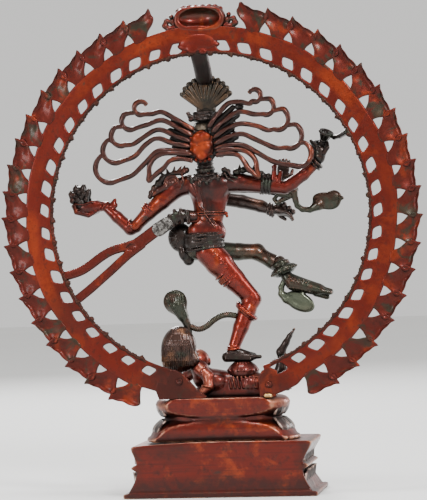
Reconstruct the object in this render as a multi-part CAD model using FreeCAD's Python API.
import FreeCAD, Part
import math
import os

# Dancing figure in cast brass inside a ring of flame leaves, on a lotus pedestal.
# The figure faces -Y, its left side is +X, +Z is up and the pedestal stands on z = 0.
# The origin lies under the middle of the statue. All sizes are in millimetres.

V = FreeCAD.Vector

# ---------------------------------------------------------------- driving dimensions
HEIGHT = 508.0
RING_Y = 38.0
RING_X = 3.0
RING_Z = 291.0
RING_LEAN = 1.6
RIM_RADIUS = 165.2
BAND_INNER = 166.7
BAND_OUTER = 210.5
BAND_THICK = 5.0
HOLE_ROW_INNER = 173.7
HOLE_ROW_OUTER = 200.5
RING_PITCH = 7.65
RING_END = 160.0
LEAF_TIP = 220.5
LEAF_START = 17.6
LEAF_PITCH = 7.44
LEAVES_PER_SIDE = 18

PLINTH_HALF_WIDTH = 101.0
PLINTH_HALF_DEPTH = 50.0
PLINTH_TOP = 57.0
LOTUS_TOP = 101.0
LOTUS_BACK = 40.0
LOTUS_MIDDLE = 10.0
LOTUS_SLIMMER = 20.0
WALL = 4.0
NUT_RADIUS = 5.2
NUT_HEIGHT = 4.5

KNUCKLE = 1.04
LOCK_RADIUS = 2.3
LOCK_Y = 17.0

# Joints of the skeleton: x, y, z.
NECK = V(12, -1, 345)
HEAD = V(12, -2, 369)
LEFT_SHOULDER = V(35, 2, 323)
RIGHT_SHOULDER = V(-17, 2, 323)
FLAME_ELBOW = V(88, 8, 276)
FLAME_WRIST = V(119, 5, 303)
FLAME_PALM = V(146, 0, 304)
DRUM_ELBOW = V(-77, 6, 320)
DRUM_WRIST = V(-108, 4, 340)
DRUM_PALM = V(-112, 2, 352)
DRUM_MIDDLE = V(-115, 0, 366)
BLESSING_ELBOW = V(-66, -24, 310)
BLESSING_WRIST = V(-64, -27, 331)
POINTING_ELBOW = V(2, -40, 303)
POINTING_WRIST = V(-50, -34, 296)
STANDING_HIP = V(11, 1, 254)
STANDING_KNEE = V(-33, -9, 200)
STANDING_ANKLE = V(-11, 1, 150)
RAISED_HIP = V(24, -2, 258)
RAISED_KNEE = V(-38, -35, 251)
RAISED_ANKLE = V(-68, -27, 222)
DWARF_HEAD = V(44, 0, 151)
DWARF_SHOULDER = V(16, 0, 117)
DWARF_HIP = V(-30, 0, 116)

parts = {}


# ---------------------------------------------------------------- shape helpers
def ball(centre, radius):
    return Part.makeSphere(radius, centre)


def egg(centre, radius, half_length, axis=V(0, 0, 1)):
    """Round solid with an oval outline, longer than it is wide, turned about its long axis."""
    oval = Part.Ellipse(V(0, 0, half_length), V(radius, 0, 0), V(0, 0, 0))
    arc = Part.ArcOfEllipse(oval, 0, math.pi)
    spine = Part.makeLine(V(0, 0, -half_length), V(0, 0, half_length))
    shape = Part.Face(Part.Wire([arc.toShape(), spine])).revolve(V(0, 0, 0), V(0, 0, 1), 360)
    shape.Placement = FreeCAD.Placement(centre, FreeCAD.Rotation(V(0, 0, 1), axis))
    return shape


def lens(centre, radius, half_thickness, axis=V(0, 0, 1)):
    """Round pad with two domed faces, square to its axis."""
    sphere_radius = (radius ** 2 + half_thickness ** 2) / (2 * half_thickness)
    shift = V(axis.x, axis.y, axis.z).normalize() * (sphere_radius - half_thickness)
    return ball(centre + shift, sphere_radius).common(ball(centre - shift, sphere_radius))


def taper(start, end, start_radius, end_radius):
    """Round bar from one point to another, with its own radius at each end."""
    run = end - start
    if abs(start_radius - end_radius) < 1e-6:
        return Part.makeCylinder(start_radius, run.Length, start, run)
    return Part.makeCone(start_radius, end_radius, run.Length, start, run)


def limb(*joints):
    """Limb through (point, radius) joints: tapered bars with a slightly fuller ball at each joint."""
    shape = ball(joints[0][0], joints[0][1] * KNUCKLE)
    for (start, start_radius), (end, end_radius) in zip(joints, joints[1:]):
        bar = taper(start, end, start_radius, end_radius)
        shape = shape.fuse([bar, ball(end, end_radius * KNUCKLE)])
    return shape.removeSplitter()


def bent_path(points):
    """Wire of straight runs joined by tangent arcs, each as large as its runs allow."""
    edges = []
    start = points[0]
    for before, corner, after in zip(points, points[1:], points[2:]):
        back = before - corner
        ahead = after - corner
        reach = 0.45 * min(back.Length, ahead.Length)
        back.normalize()
        ahead.normalize()
        half_turn = (math.pi - back.getAngle(ahead)) / 2
        radius = reach / math.tan(half_turn)
        inward = (back + ahead).normalize()
        entry = corner + back * reach
        middle = corner + inward * (radius / math.cos(half_turn) - radius)
        leave = corner + ahead * reach
        edges.append(Part.makeLine(start, entry))
        edges.append(Part.Arc(entry, middle, leave).toShape())
        start = leave
    edges.append(Part.makeLine(start, points[-1]))
    return Part.Wire(edges)


def tube(points, radius):
    """Round rod swept along straight runs and tangent arcs."""
    path = bent_path(points)
    section = Part.Wire(Part.makeCircle(radius, points[0], points[1] - points[0]))
    return path.makePipeShell([section], True, True)


def round_section(x, y, z, half_width, half_depth):
    """Closed smooth horizontal oval."""
    points = []
    for step in range(12):
        angle = math.radians(30 * step)
        points.append(V(x + half_width * math.cos(angle), y + half_depth * math.sin(angle), z))
    curve = Part.BSplineCurve()
    curve.interpolate(points, PeriodicFlag=True)
    return Part.Wire(curve.toShape())


def box(x0, x1, y0, y1, z0, z1):
    return Part.makeBox(x1 - x0, y1 - y0, z1 - z0, V(x0, y0, z0))


def slab(outline, y0, y1):
    """Flat plate with a corner outline given as (x, z), between two y planes."""
    points = [V(x, y0, z) for x, z in outline]
    face = Part.Face(Part.makePolygon(points + [points[0]]))
    return face.extrude(V(0, y1 - y0, 0))


def smooth_slab(outline, y0, y1):
    """Flat plate with a smooth closed outline through (x, z) points."""
    curve = Part.BSplineCurve()
    curve.interpolate([V(x, y0, z) for x, z in outline], PeriodicFlag=True)
    return Part.Face(Part.Wire(curve.toShape())).extrude(V(0, y1 - y0, 0))


def cuff(start, end, share, radius, length):
    """Ring worn round a limb, at a share of the way from start to end."""
    run = end - start
    middle = start + run * share
    axis = V(run.x, run.y, run.z).normalize()
    return Part.makeCylinder(radius, length, middle - axis * (length / 2), axis)


def largest(shape):
    return max(shape.Solids, key=lambda solid: solid.Volume)


def minus(shape, *names):
    """The shape less the parts named, so that neighbours meet face to face."""
    cut = shape.cut([parts[name] for name in names])
    return largest(cut)


def ring_point(angle, radius):
    """Point in the ring's plane; the angle runs from the top towards +X."""
    turn = math.radians(angle + RING_LEAN)
    return V(RING_X + radius * math.sin(turn), RING_Y, RING_Z + radius * math.cos(turn))


# ---------------------------------------------------------------- pedestal
def plinth_layer(low, high):
    """Moulding between two (height, inset) levels; the back stays a flat plane."""
    wires = []
    for height, inset in (low, high):
        x = PLINTH_HALF_WIDTH - inset
        front = -(PLINTH_HALF_DEPTH - inset)
        back = PLINTH_HALF_DEPTH
        corners = [V(-x, front, height), V(x, front, height), V(x, back, height), V(-x, back, height)]
        wires.append(Part.makePolygon(corners + [corners[0]]))
    return Part.makeLoft(wires, True, True)


def make_plinth():
    levels = [(0, 0), (4, 0), (8, 6), (20, 13), (27, 13), (29, 9), (33, 9), (35, 13), (47, 12), (52, 9),
              (PLINTH_TOP, 10)]
    shape = plinth_layer(levels[0], levels[1])
    for low, high in zip(levels[1:], levels[2:]):
        shape = shape.fuse(plinth_layer(low, high))
    cavity = box(-82, 82, -31, PLINTH_HALF_DEPTH - WALL, -1, PLINTH_TOP - WALL)
    hole = box(-50, 50, -25, 34, 0, PLINTH_TOP + 1)
    parts["plinth"] = shape.cut([cavity, hole]).removeSplitter()


def plinth_leaf(x, y, turn):
    """Upright leaf on the plinth's side, leaning out towards its tip."""
    outline = [V(-6, 0, 8), V(6, 0, 8), V(8, 0, 20), V(0, 0, 33), V(-8, 0, 20)]
    leaf = Part.Face(Part.makePolygon(outline + [outline[0]])).extrude(V(0, -5, 0))
    leaf.rotate(V(0, 0, 0), V(0, 0, 1), turn)
    leaf.translate(V(x, y, 0))
    return leaf.cut(parts["plinth"])


def make_plinth_leaves():
    leaves = [plinth_leaf(x, -36.5, 0) for x in range(-72, 73, 18)]
    for y in (-26, -8, 10, 28):
        leaves.append(plinth_leaf(87.5, y, 90))
        leaves.append(plinth_leaf(-87.5, y, -90))
    parts["plinth_leaves"] = Part.makeCompound([largest(leaf) for leaf in leaves])


def lotus_section(half_width, z):
    """Oval plan of the lotus tier; its back is cut flat later."""
    return round_section(0, LOTUS_MIDDLE, z, half_width, half_width - LOTUS_SLIMMER)


def make_lotus():
    levels = [(57, 70), (62, 72), (72, 66), (79, 62), (86, 65), (94, 68), (98, 67), (LOTUS_TOP, 63)]
    body = Part.makeLoft([lotus_section(width, z) for z, width in levels], True, True)
    hollow = Part.makeLoft([lotus_section(57, 56), lotus_section(57, LOTUS_TOP - WALL)], True, True)
    back_room = box(-120, 120, LOTUS_BACK - WALL, 120, 50, 110)
    body = body.cut([hollow.cut(back_room), box(-120, 120, LOTUS_BACK, 120, 50, 110)])
    parts["lotus_tier"] = largest(body)


def petal_row(z, half_width, rise, count):
    """Row of rounded petals round the front and sides of the tier."""
    petals = []
    for step in range(count):
        angle = math.radians(-200 + 220 * step / (count - 1))
        depth = half_width - LOTUS_SLIMMER
        centre = V(half_width * math.cos(angle), LOTUS_MIDDLE + depth * math.sin(angle), z)
        petal = lens(V(0, 0, 0), rise, 6.0, V(1, 0, 0))
        petal.rotate(V(0, 0, 0), V(0, 0, 1), math.degrees(angle))
        petal.translate(centre)
        petals.append(largest(petal.cut([parts["lotus_tier"], parts["plinth"]])))
    return petals


def make_petals():
    parts["lotus_petals"] = Part.makeCompound(petal_row(66, 71, 8.5, 15) + petal_row(90, 65, 7.5, 15))


def make_fixings():
    """Two studs with nuts hold the figure on the pedestal from inside."""
    studs = []
    nuts = []
    bottom = LOTUS_TOP - WALL - NUT_HEIGHT
    for x in (-24, 10):
        stud = Part.makeCylinder(2.5, 28, V(x, 0, bottom - 3), V(0, 0, 1))
        corners = []
        for step in range(7):
            angle = math.radians(60 * step)
            corners.append(V(x + NUT_RADIUS * math.cos(angle), NUT_RADIUS * math.sin(angle), bottom))
        nut = Part.Face(Part.makePolygon(corners)).extrude(V(0, 0, NUT_HEIGHT))
        studs.append(stud)
        nuts.append(nut.cut(stud))
    parts["fixing_studs"] = Part.makeCompound(studs)
    parts["fixing_nuts"] = Part.makeCompound(nuts)
    parts["lotus_tier"] = minus(parts["lotus_tier"], "fixing_studs")


# ---------------------------------------------------------------- ring of flames
def ring_sector(inner, outer, end_angle, y0, y1):
    """Arch-shaped plate between two radii, open below."""
    ring = Part.makeCylinder(outer, y1 - y0, V(RING_X, y0, RING_Z), V(0, 1, 0))
    ring = ring.cut(Part.makeCylinder(inner, y1 - y0, V(RING_X, y0, RING_Z), V(0, 1, 0)))
    far = 2 * outer
    low = [V(RING_X, y0, RING_Z)]
    for side in (1, -1):
        turn = math.radians(side * end_angle)
        low.append(V(RING_X + far * math.sin(turn), y0, RING_Z + far * math.cos(turn)))
    wedge = Part.Face(Part.makePolygon(low + [low[0]])).extrude(V(0, y1 - y0, 0))
    return ring.cut(wedge)


def ring_hole(angle, radius, reach, width):
    """Pointed hole right through the band."""
    corners = [ring_point(angle, radius - reach), ring_point(angle + width, radius),
               ring_point(angle, radius + reach), ring_point(angle - width, radius)]
    for corner in corners:
        corner.y = RING_Y - 20
    return Part.Face(Part.makePolygon(corners + [corners[0]])).extrude(V(0, 40, 0))


def make_ring():
    y0 = RING_Y - BAND_THICK / 2
    y1 = RING_Y + BAND_THICK / 2
    band = ring_sector(BAND_INNER, BAND_OUTER, RING_END, y0, y1)
    holes = []
    for step in range(-20, 21):
        if step != 0:
            holes.append(ring_hole(step * RING_PITCH, HOLE_ROW_INNER, 5.2, 2.4))
    for step in range(LEAVES_PER_SIDE):
        for side in (1, -1):
            holes.append(ring_hole(side * (LEAF_START + (step + 0.5) * LEAF_PITCH), HOLE_ROW_OUTER, 6.0, 1.9))
    parts["flame_ring"] = band.cut(holes)
    parts["ring_inner_rim"] = ring_sector(RIM_RADIUS - 2.5, BAND_INNER, RING_END, y0 - 1, y1 + 1)


def ring_leaf(angle, side, tip_radius):
    """Flame leaf on the band's edge; its tip leans up round the ring."""
    outline = [ring_point(angle - side * 3.6, BAND_OUTER - 0.5), ring_point(angle - side * 3.0, tip_radius - 4),
               ring_point(angle - side * 2.4, tip_radius), ring_point(angle + side * 1.4, tip_radius - 3.5),
               ring_point(angle + side * 3.6, BAND_OUTER - 0.5)]
    for point in outline:
        point.y = RING_Y - 4
    leaf = Part.Face(Part.makePolygon(outline + [outline[0]])).extrude(V(0, 8, 0))
    return largest(leaf.cut(parts["flame_ring"]))


def make_leaves():
    leaves = []
    for side in (1, -1):
        for step in range(LEAVES_PER_SIDE + 1):
            leaves.append(ring_leaf(side * (LEAF_START + step * LEAF_PITCH), side, LEAF_TIP))
    parts["flame_leaves"] = Part.makeCompound(leaves)


def make_crest():
    """Guardian mask at the top of the ring, a shallow bowl that is open at the back."""
    outline = [(-16, 482), (-22, 492), (-14, 503), (7, HEIGHT), (28, 503), (36, 492), (30, 482), (7, 480)]
    cavity = [(-11, 486), (-16, 493), (-9, 500), (7, 504), (23, 500), (30, 493), (25, 486), (7, 484)]
    shape = smooth_slab(outline, 18, RING_Y + 2.5).cut(smooth_slab(cavity, 23, RING_Y + 3))
    curls = [ball(V(42, 30, 488), 6), ball(V(-28, 30, 487), 6)]
    shape = shape.fuse(curls).cut(box(-80, 80, -80, 80, HEIGHT, HEIGHT + 20))
    parts["crest_mask"] = minus(shape, "flame_ring", "flame_leaves")


def make_ring_feet():
    """Feet that stand on the tier and carry the two ends of the ring."""
    y0 = RING_Y - 4
    left = slab([(61, LOTUS_TOP), (70, 137), (52, 134), (36, 127), (12, LOTUS_TOP + 3), (12, LOTUS_TOP)],
                y0, LOTUS_BACK)
    right = slab([(-62, LOTUS_TOP), (-68, 137), (-54, 131), (-46, 126), (-45, LOTUS_TOP)], y0, LOTUS_BACK)
    rivets = []
    for x, z in ((46, 116), (-54, 112)):
        rivets.append(Part.makeCylinder(2.2, 8, V(x, y0 - 2, z), V(0, 1, 0)))
    parts["ring_rivets"] = Part.makeCompound(rivets)
    parts["ring_feet"] = Part.makeCompound([minus(foot, "flame_ring", "ring_inner_rim", "ring_rivets")
                                            for foot in (left, right)])


# ---------------------------------------------------------------- dwarf and its cobra
def make_dwarf():
    body = limb((DWARF_SHOULDER, 16), (V(-8, 0, 113), 13.5), (DWARF_HIP, 16))
    floor = box(-200, 200, -100, 100, 0, LOTUS_TOP)
    body = body.cut(floor)
    parts["dwarf_body"] = minus(body, "fixing_studs")
    head = egg(DWARF_HEAD, 18.5, 22).fuse(limb((V(18, 0, 124), 9), (V(36, 0, 140), 11)))
    parts["dwarf_head"] = minus(head, "dwarf_body")
    near = limb((V(20, 10, 118), 7), (V(40, 20, 109), 6.5), (V(58, 8, 107), 5.5))
    far = limb((V(20, -12, 120), 7), (V(44, -24, 113), 6.5), (V(58, -20, 132), 5), (V(50, -16, 150), 4))
    arms = [minus(arm.cut(floor), "dwarf_body", "dwarf_head") for arm in (near, far)]
    parts["dwarf_arms"] = Part.makeCompound(arms)
    bent = limb((V(-34, 6, 116), 11), (V(-66, 6, 112), 9), (V(-63, 4, 140), 6), (V(-75, 2, 165), 4.0))
    tucked = limb((V(-30, -10, 114), 11), (V(-56, -24, 110), 8.5), (V(-36, -36, 107), 6), (V(-20, -38, 106), 4.5))
    parts["dwarf_raised_leg"] = minus(bent.cut(floor), "dwarf_body")
    parts["dwarf_folded_leg"] = minus(tucked.cut(floor), "dwarf_body", "dwarf_raised_leg")
    pad = lens(V(-21, 0, 126), 15.5, 10)
    parts["foot_pad"] = minus(pad, "dwarf_body", "dwarf_raised_leg")


def make_dwarf_cobra():
    hood = smooth_slab([(34, 180), (32, 196), (39, 210), (48, 214), (57, 208), (59, 196), (50, 183), (42, 177)],
                       -4, 3)
    parts["dwarf_cobra_hood"] = minus(hood, "dwarf_head")
    body = tube([V(36, 0, 179), V(24, 0, 172), V(12, 0, 178), V(0, 0, 185), V(-18, -2, 184)], 2.6)
    parts["dwarf_cobra_body"] = minus(body, "dwarf_head", "dwarf_cobra_hood", "standing_leg")


# ---------------------------------------------------------------- body of the dancer
def make_torso():
    sections = [(256, 17, 1, 19, 14), (270, 15, 1, 20, 14), (285, 10, 0, 17, 12), (297, 8.5, 0, 16.5, 12),
                (312, 8, -1, 22, 14), (325, 8, -1, 24, 12), (333, 10, -1, 14, 9), (338, 11, -1, 8, 7.5)]
    wires = [round_section(x, y, z, width, depth) for z, x, y, width, depth in sections]
    body = Part.makeLoft(wires, True, False)
    parts["torso"] = body.fuse(taper(V(11, -1, 334), NECK + V(0, 0, 5), 8, 7)).removeSplitter()


def make_head():
    parts["head"] = minus(egg(HEAD, 15.5, 22), "torso")
    parts["nape_disc"] = minus(egg(V(12.5, 10, 362), 13, 18), "head", "torso")
    band = taper(V(11.5, -1, 387), V(11.5, -1, 399), 11.5, 10.0)
    parts["crown_band"] = minus(band, "head", "nape_disc")
    fan = smooth_slab([(1, 399), (-7, 407), (-15, 418), (-12, 427), (-5, 433), (9, 437), (23, 434), (30, 427),
                       (33, 418), (25, 407), (19, 399)], -5, 7)
    parts["feather_fan"] = minus(fan, "crown_band")
    strut = slab([(2, 433), (16, 433), (13, 446), (17, 457), (-3, 457), (5, 446)], 2, RING_Y + 2)
    parts["head_strut"] = minus(strut, "feather_fan", "flame_ring", "ring_inner_rim")
    parts["ear_rings"] = Part.makeCompound([
        minus(ball(V(12 + side * 17, -2, 355), 4.5), "head", "torso") for side in (1, -1)])


def hair_lock(name, points, loop_centre, loop_radius, side, first_angle):
    """Lock that leaves the nape in a wave and ends in an open loop."""
    route = [V(x, LOCK_Y, z) for x, z in points]
    for step in range(5):
        angle = math.radians(first_angle + side * 50 * step)
        route.append(V(loop_centre[0] + loop_radius * math.cos(angle), LOCK_Y,
                       loop_centre[1] + loop_radius * math.sin(angle)))
    parts[name] = minus(tube(route, LOCK_RADIUS), "nape_disc", "head")


# Waves of the locks as (x, z) points, then the loop's middle, its radius and where it is joined.
LEFT_LOCKS = [
    ([(19, 377), (38, 389), (56, 398)], (75, 404), 7, -110),
    ([(21, 373), (48, 388), (66, 386)], (87, 392), 9, -110),
    ([(22, 368), (54, 380), (74, 373)], (99, 376), 10, -110),
    ([(23, 363), (58, 371), (78, 359)], (106, 361), 12, -110),
    ([(24, 358), (58, 360), (76, 343)], (113, 343), 13, -110),
]
RIGHT_LOCKS = [
    ([(3, 378), (-16, 402), (-34, 404)], (-47, 410), 6, -70),
    ([(1, 374), (-24, 394), (-42, 391)], (-58, 400), 7.5, -70),
    ([(0, 369), (-28, 382), (-48, 379)], (-70, 386), 10, -70),
    ([(-1, 364), (-30, 372), (-52, 361)], (-82, 368), 12, -70),
    ([(-2, 359), (-34, 360), (-58, 344)], (-89, 350), 12.5, -70),
]


def make_hair():
    for number, (points, centre, radius, angle) in enumerate(LEFT_LOCKS, 1):
        hair_lock("hair_lock_left_%d" % number, points, centre, radius, 1, angle)
    for number, (points, centre, radius, angle) in enumerate(RIGHT_LOCKS, 1):
        hair_lock("hair_lock_right_%d" % number, points, centre, radius, -1, angle)
    left = [(22, 350), (44, 355), (60, 353), (67, 343), (68, 330), (52, 344), (36, 350)]
    right = [(-1, 353), (-20, 356), (-38, 352), (-44, 340), (-44, 330), (-30, 344), (-14, 352)]
    for name, outline in (("hair_lock_left_6", left), ("hair_lock_right_6", right)):
        lock = tube([V(x, LOCK_Y - 2, z) for x, z in outline], LOCK_RADIUS)
        parts[name] = minus(lock, "nape_disc", "head", "torso")
    wings = [slab([(20, 348), (46, 352), (48, 390), (30, 412), (20, 398)], 4, 13),
             slab([(4, 348), (-22, 352), (-26, 386), (-10, 410), (3, 398)], 4, 13)]
    neighbours = ("head", "nape_disc", "crown_band", "feather_fan", "torso")
    parts["hair_wings"] = Part.makeCompound([minus(wing, *neighbours) for wing in wings])


def make_flame_arm():
    arm = limb((LEFT_SHOULDER, 8.5), (FLAME_ELBOW, 6.8), (FLAME_WRIST, 4.8), (FLAME_PALM, 4.2))
    parts["flame_arm"] = minus(arm, "torso")
    bowl = limb((V(146, 0, 310), 6), (V(146, 0, 318), 7), (V(145, 0, 326), 3))
    parts["flame"] = minus(bowl, "flame_arm")
    shoulder = [V(40, 9, 334), V(56, 9, 330), V(68, 9, 338), V(66, 9, 322), V(52, 9, 312), V(44, 9, 318)]
    spikes = Part.Face(Part.makePolygon(shoulder + [shoulder[0]])).extrude(V(0, 4, 0))
    parts["shoulder_ornament"] = minus(spikes, "flame_arm", "torso", "hair_lock_left_6")


def make_drum_arm():
    arm = limb((RIGHT_SHOULDER, 8.5), (DRUM_ELBOW, 6.8), (DRUM_WRIST, 4.8), (DRUM_PALM, 4.8))
    parts["drum_arm"] = minus(arm, "torso")
    waist = DRUM_MIDDLE
    axis = V(-9, 0, -4).normalize()
    first = Part.makeCone(3, 7.5, 9, waist, axis)
    second = Part.makeCone(3, 7.5, 9, waist, axis * -1)
    parts["drum"] = minus(first.fuse(second), "drum_arm")
    stay = taper(V(-122, 1, 362), ring_point(-61, 164), 2.5, 2.5)
    parts["drum_strut"] = minus(stay, "drum", "ring_inner_rim", "flame_ring")


def make_front_arms():
    arm = limb((V(-14, -10, 319), 7.5), (BLESSING_ELBOW, 6.2), (BLESSING_WRIST, 4.5))
    hand = limb((V(-64, -28, 337), 5), (V(-65, -29, 349), 4))
    parts["blessing_arm"] = minus(arm.fuse(hand), "torso", "drum_arm")
    arm = limb((V(30, -9, 319), 7.5), (POINTING_ELBOW, 6.2), (POINTING_WRIST, 4.5))
    hand = limb((POINTING_WRIST, 4.5), (V(-64, -33, 292), 4.5), (V(-78, -32, 285), 2.5))
    parts["pointing_arm"] = minus(arm.fuse(hand), "torso")


def make_arm_rings():
    rings = []
    for start, end, share, radius, owner in (
            (LEFT_SHOULDER, FLAME_ELBOW, 0.45, 9.5, "flame_arm"), (FLAME_WRIST, FLAME_ELBOW, 0.15, 7, "flame_arm"),
            (RIGHT_SHOULDER, DRUM_ELBOW, 0.75, 9.5, "drum_arm"), (DRUM_WRIST, DRUM_ELBOW, 0.15, 7, "drum_arm"),
            (V(-14, -10, 319), BLESSING_ELBOW, 0.5, 8.8, "blessing_arm"),
            (BLESSING_WRIST, BLESSING_ELBOW, 0.2, 7, "blessing_arm"),
            (V(30, -9, 319), POINTING_ELBOW, 0.5, 8.8, "pointing_arm"),
            (POINTING_WRIST, POINTING_ELBOW, 0.1, 7, "pointing_arm")):
        ring = cuff(start, end, share, radius, 4.5)
        rings.append(minus(ring, owner, "torso"))
    parts["arm_rings"] = Part.makeCompound(rings)


def make_arm_cobra():
    body = tube([V(-56, -16, 298), V(-58, -15, 308), V(-68, -14, 318), V(-79, -15, 316), V(-80, -17, 302),
                 V(-88, -18, 292), V(-102, -18, 295), V(-113, -18, 302)], 3.0)
    hood = smooth_slab([(-106, 291), (-116, 300), (-128, 303), (-129, 308), (-122, 314), (-114, 314), (-108, 303)],
                       -21, -15)
    body = minus(body, "blessing_arm", "drum_arm")
    parts["arm_cobra"] = largest(body.fuse(hood).cut([parts["blessing_arm"], parts["drum_arm"]]))


def make_waist():
    belt = round_section(9, 0, 293, 19, 14)
    belt = Part.Face(belt).extrude(V(0, 0, 4))
    parts["belt"] = minus(belt, "torso")
    sections = [(250, 17, 1, 21, 15), (262, 16, 1, 23, 17), (274, 14, 1, 21.5, 15.5)]
    skirt = Part.makeLoft([round_section(x, y, z, w, d) for z, x, y, w, d in sections], True, False)
    parts["skirt"] = minus(skirt, "torso")
    knot = egg(V(43, 2, 268), 9, 14).fuse(ball(V(28, 6, 247), 9))
    parts["waist_tassel"] = minus(knot, "skirt", "torso")
    thread = slab([(32, 322), (29, 325), (-6, 298), (-3, 295)], 8, 15)
    parts["sacred_thread"] = minus(thread, "torso", "belt", "flame_arm")


def make_sash():
    """Flying sash from the waist, forked into two tails that reach the ring."""
    strap = [(22, 296), (45, 294), (62, 286), (76, 272), (100, 264), (120, 255), (136, 243), (155, 237),
             (152, 227), (130, 236), (112, 248), (98, 252), (112, 238), (124, 228), (138, 217),
             (144, 214), (138, 206), (120, 220), (106, 232), (92, 246), (80, 258), (66, 272), (52, 282), (22, 286)]
    shape = slab(strap, 22, 28)
    lead = slab([(14, 296), (30, 296), (30, 286), (14, 286)], 10, 28)
    tip_up = slab([(146, 241), (164, 236), (161, 226), (144, 231)], 22, RING_Y + 3)
    tip_low = slab([(134, 220), (151, 214), (144, 203), (130, 212)], 22, RING_Y + 3)
    sash = shape.fuse([lead, tip_up, tip_low])
    parts["sash"] = minus(sash, "torso", "belt", "skirt", "waist_tassel", "ring_inner_rim", "flame_ring")


def make_legs():
    shin = limb((STANDING_KNEE, 9), (V(-25, -3, 178), 8.2), (STANDING_ANKLE, 5))
    leg = limb((STANDING_HIP, 14), (STANDING_KNEE, 9)).fuse(shin)
    foot = limb((V(-7, 3, 142), 5.5), (V(-26, -5, 141), 5), (V(-40, -9, 139), 3.8))
    leg = leg.fuse(foot)
    parts["standing_leg"] = minus(leg, "torso", "skirt", "waist_tassel")
    leg = limb((RAISED_HIP, 14), (RAISED_KNEE, 9.5), (RAISED_ANKLE, 5.5))
    foot = limb((V(-73, -27, 216), 7), (V(-95, -28, 210), 6.5), (V(-111, -29, 206), 4.5))
    parts["raised_leg"] = minus(leg.fuse(foot), "torso", "skirt", "standing_leg", "waist_tassel")
    bands = [minus(cuff(STANDING_HIP, STANDING_KNEE, 0.5, 13.5, 9), "standing_leg", "raised_leg", "skirt"),
             minus(cuff(STANDING_KNEE, STANDING_ANKLE, 0.2, 10.5, 5), "standing_leg"),
             minus(cuff(STANDING_KNEE, STANDING_ANKLE, 0.9, 7.5, 5), "standing_leg")]
    parts["leg_bands"] = Part.makeCompound(bands)
    anklet = taper(V(-59, -29, 237), V(-65, -28, 226), 7.5, 12)
    parts["raised_anklet"] = minus(anklet, "raised_leg")
    bell = egg(V(-79, -28, 196), 8, 17, V(1, 0, 0)).fuse(taper(V(-62, -28, 200), V(-65, -27, 219), 3, 3.5))
    parts["anklet_pendant"] = minus(bell, "raised_leg", "raised_anklet")
    parts["foot_pad"] = minus(parts["foot_pad"], "standing_leg")
    parts["dwarf_body"] = minus(parts["dwarf_body"], "standing_leg")


make_plinth()
make_plinth_leaves()
make_lotus()
make_petals()
make_fixings()
make_ring()
make_leaves()
make_crest()
make_ring_feet()
make_dwarf()
make_torso()
make_head()
make_hair()
make_flame_arm()
make_drum_arm()
make_front_arms()
make_arm_rings()
make_arm_cobra()
make_waist()
make_sash()
make_legs()
make_dwarf_cobra()

os.makedirs("parts", exist_ok=True)
for node, shape in parts.items():
    shape.exportStep("parts/%s.step" % node)
    print(node, len(shape.Solids), shape.isValid(), round(shape.Volume))
everything = Part.makeCompound(list(parts.values()))
print(len(parts), "parts", everything.BoundBox)
